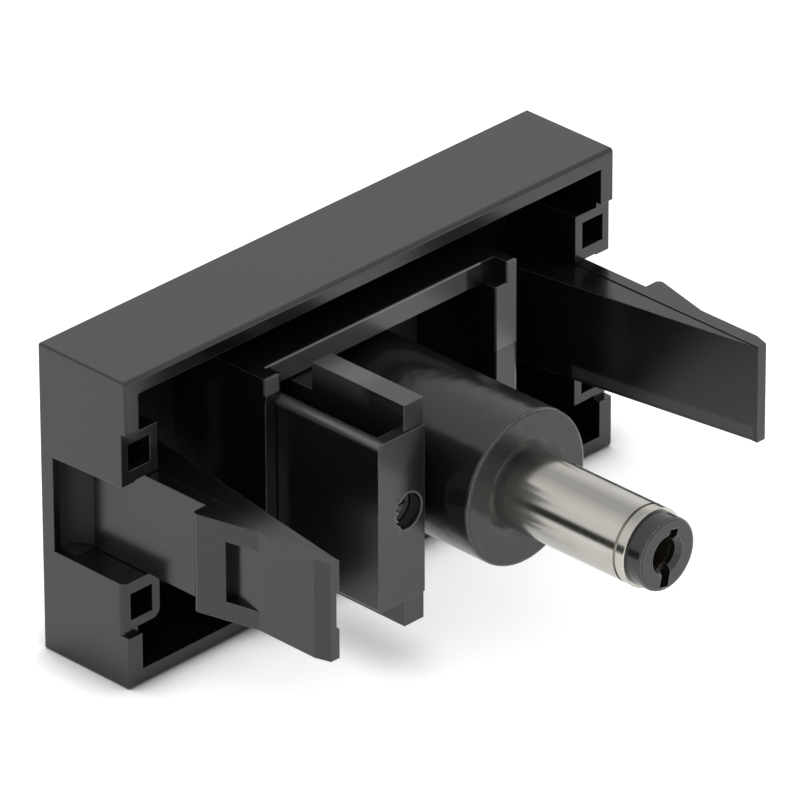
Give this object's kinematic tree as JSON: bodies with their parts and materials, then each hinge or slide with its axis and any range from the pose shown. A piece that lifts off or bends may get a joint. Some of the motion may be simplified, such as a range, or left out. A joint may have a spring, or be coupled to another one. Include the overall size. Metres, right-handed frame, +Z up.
{
  "type": "dc barrel jack module",
  "caption": "Black snap-in wiring module with a barrel jack in its front face, side latch arms and a barrel plug pointing out of its back.",
  "frame": {"origin": "centre of the front face, where the module sits flush in its frame", "axes": "+X along the module, +Y out of the front face, +Z up as the picture shows it; the plug points to -Y"},
  "size_m": [0.045, 0.0341, 0.0226],
  "materials": {
    "housing_plastic": "semi-gloss black moulding",
    "insulator_plastic": "black insulator",
    "plug_plastic": "satin black moulding",
    "tip_plastic": "glossy greenish black ring",
    "plated_metal": "bright warm nickel plating",
    "contact_metal": "plain brass",
    "screw_steel": "darkened steel"
  },
  "bodies": {
    "root": {"housing": "housing_plastic", "jack_body": "insulator_plastic", "jack_centre_pin": "plated_metal", "jack_sleeve_contact": "contact_metal", "plug_body": "plug_plastic", "plug_barrel": "plated_metal", "plug_tip_insulator": "tip_plastic", "plug_centre_contact": "contact_metal", "retainer_block": "housing_plastic", "retainer_screw": "screw_steel"}
  },
  "joints": []
}
